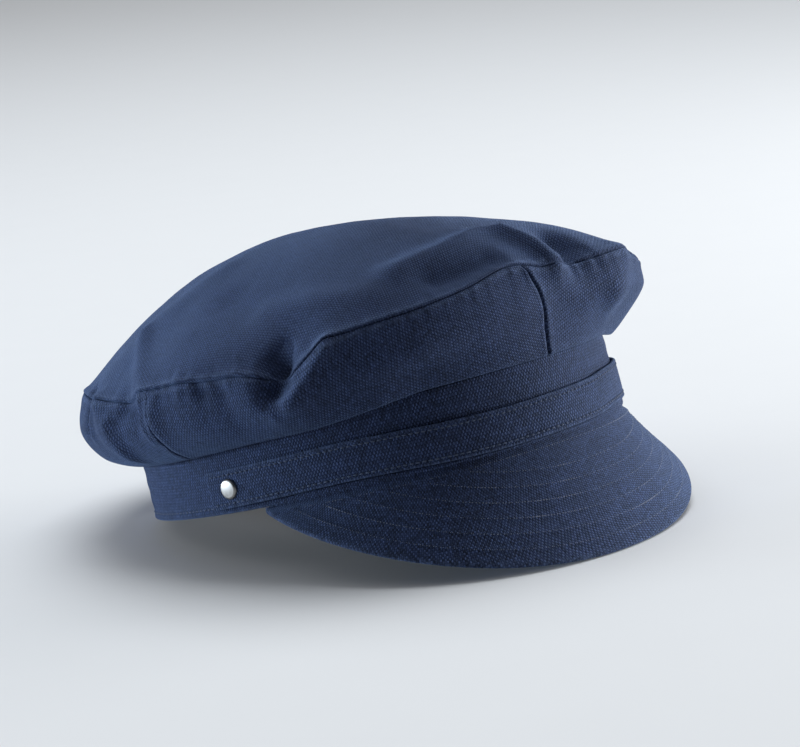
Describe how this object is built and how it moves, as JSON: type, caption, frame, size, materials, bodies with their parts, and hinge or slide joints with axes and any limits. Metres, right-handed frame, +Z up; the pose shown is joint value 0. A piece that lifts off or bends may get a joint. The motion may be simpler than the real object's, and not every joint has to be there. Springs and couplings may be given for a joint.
{
  "type": "breton fisherman cap",
  "caption": "Soft navy canvas cap: a full four-panel crown with a round top, a stiff band, a riveted strap across the front and a curved stitched visor.",
  "frame": {"origin": "on the table, under the middle of the cap's overall box", "axes": "+Z up from the table, -Y to the front of the cap where the visor is, +X to the wearer's left"},
  "size_m": [0.2166, 0.2576, 0.1207],
  "materials": {
    "crown_canvas": "matt navy cotton canvas, plain weave",
    "band_canvas": "matt navy cotton canvas, stiffened, with stitched edges",
    "visor_canvas": "matt navy cotton canvas with rows of stitching",
    "rivet_metal": "satin nickel"
  },
  "bodies": {
    "root": {"crown_top": "crown_canvas", "crown_front_right": "crown_canvas", "crown_back_right": "crown_canvas", "crown_back_left": "crown_canvas", "crown_front_left": "crown_canvas", "band": "band_canvas", "strap": "band_canvas", "visor": "visor_canvas", "rivet_right": "rivet_metal", "rivet_left": "rivet_metal"}
  },
  "joints": []
}
